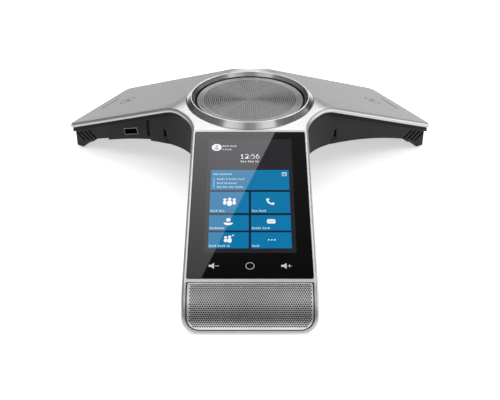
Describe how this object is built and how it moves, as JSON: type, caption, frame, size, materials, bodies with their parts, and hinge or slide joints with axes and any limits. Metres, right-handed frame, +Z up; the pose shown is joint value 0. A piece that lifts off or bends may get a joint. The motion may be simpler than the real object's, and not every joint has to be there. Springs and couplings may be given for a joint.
{
  "type": "conference ip phone",
  "caption": "Three-armed table conference phone with a round speaker, a touch screen arm with a perforated nose, mute lights on the rear arms, and an arched base.",
  "frame": {"origin": "on the table, under the middle of the footprint", "axes": "+Z up, -Y towards the person who reads the screen, +X to their right"},
  "size_m": [0.315, 0.329, 0.0699],
  "materials": {
    "cover": "satin silver paint on moulded plastic",
    "base": "fine matt moulded texture",
    "port_steel": "plated sheet",
    "port_plastic": "plain moulded",
    "circuit_board": "solder mask",
    "bright_ring": "turned and anodised, bright crest",
    "grille_steel": "perforated sheet, satin",
    "acoustic_cloth": "fine black mesh",
    "foam": "closed-cell foam",
    "screw_steel": "black zinc",
    "inner_steel": "pressed and plated",
    "magnet": "sintered ferrite",
    "copper": "enamelled wire",
    "cone_paper": "pulp paper",
    "surround_rubber": "satin",
    "spider_cloth": "phenolic cloth",
    "display_glass": "polished, black printed border",
    "lcd": "liquid crystal panel",
    "backlight_metal": "pressed tray",
    "bracket_plastic": "glass filled",
    "ribbon": "polyimide film",
    "lamp": "light-emitting diode",
    "chip": "moulded package",
    "can_steel": "tinned sheet",
    "light_guide": "translucent light guide, unlit",
    "mic_rubber": "soft moulded",
    "contact_brass": "gold-plated spring wire",
    "wire": "jacketed bundle",
    "plate": "blank film label",
    "foot_rubber": "matt"
  },
  "bodies": {
    "phone": {"top_cover": "cover", "base": "base", "port_panel": "base", "usb_port": "port_steel", "usb_tongue": "port_plastic", "usb_board": "circuit_board", "service_port": "port_steel", "speaker_ring": "bright_ring", "speaker_grille": "grille_steel", "speaker_cloth": "acoustic_cloth", "speaker_gasket": "foam", "speaker_baffle": "base", "speaker_screws": "screw_steel", "speaker_basket": "inner_steel", "speaker_top_plate": "inner_steel", "speaker_magnet": "magnet", "speaker_back_plate": "inner_steel", "speaker_surround": "surround_rubber", "speaker_spider": "spider_cloth", "touch_glass": "display_glass", "glass_gasket": "foam", "lcd_panel": "lcd", "lcd_backlight": "backlight_metal", "display_bracket": "bracket_plastic", "display_ribbon": "ribbon", "display_connector": "port_plastic", "key_board": "circuit_board", "key_lamps": "lamp", "main_board": "circuit_board", "board_chips": "chip", "shield_can": "can_steel", "processor": "chip", "board_screws": "screw_steel", "arm_boards": "circuit_board", "mute_light_bars": "light_guide", "mic_boots": "mic_rubber", "mic_capsules": "can_steel", "front_grille": "grille_steel", "front_grille_cloth": "acoustic_cloth", "front_grille_carrier": "base", "network_jack": "port_plastic", "jack_contacts": "contact_brass", "jack_board": "circuit_board", "arm_cables": "wire", "jack_cable": "wire", "rating_plate": "plate", "base_screws": "screw_steel", "feet": "foot_rubber"},
    "diaphragm": {"speaker_cone": "cone_paper", "dust_cap": "cone_paper", "voice_coil": "copper"}
  },
  "joints": [
    {"name": "cone_travel", "type": "slide", "parent": "phone", "child": "diaphragm", "axis": [0, 0, 1], "range_m": [-0.002, 0.002], "stiffness_N_per_m": 250, "deforming": ["speaker_surround", "speaker_spider"]}
  ]
}
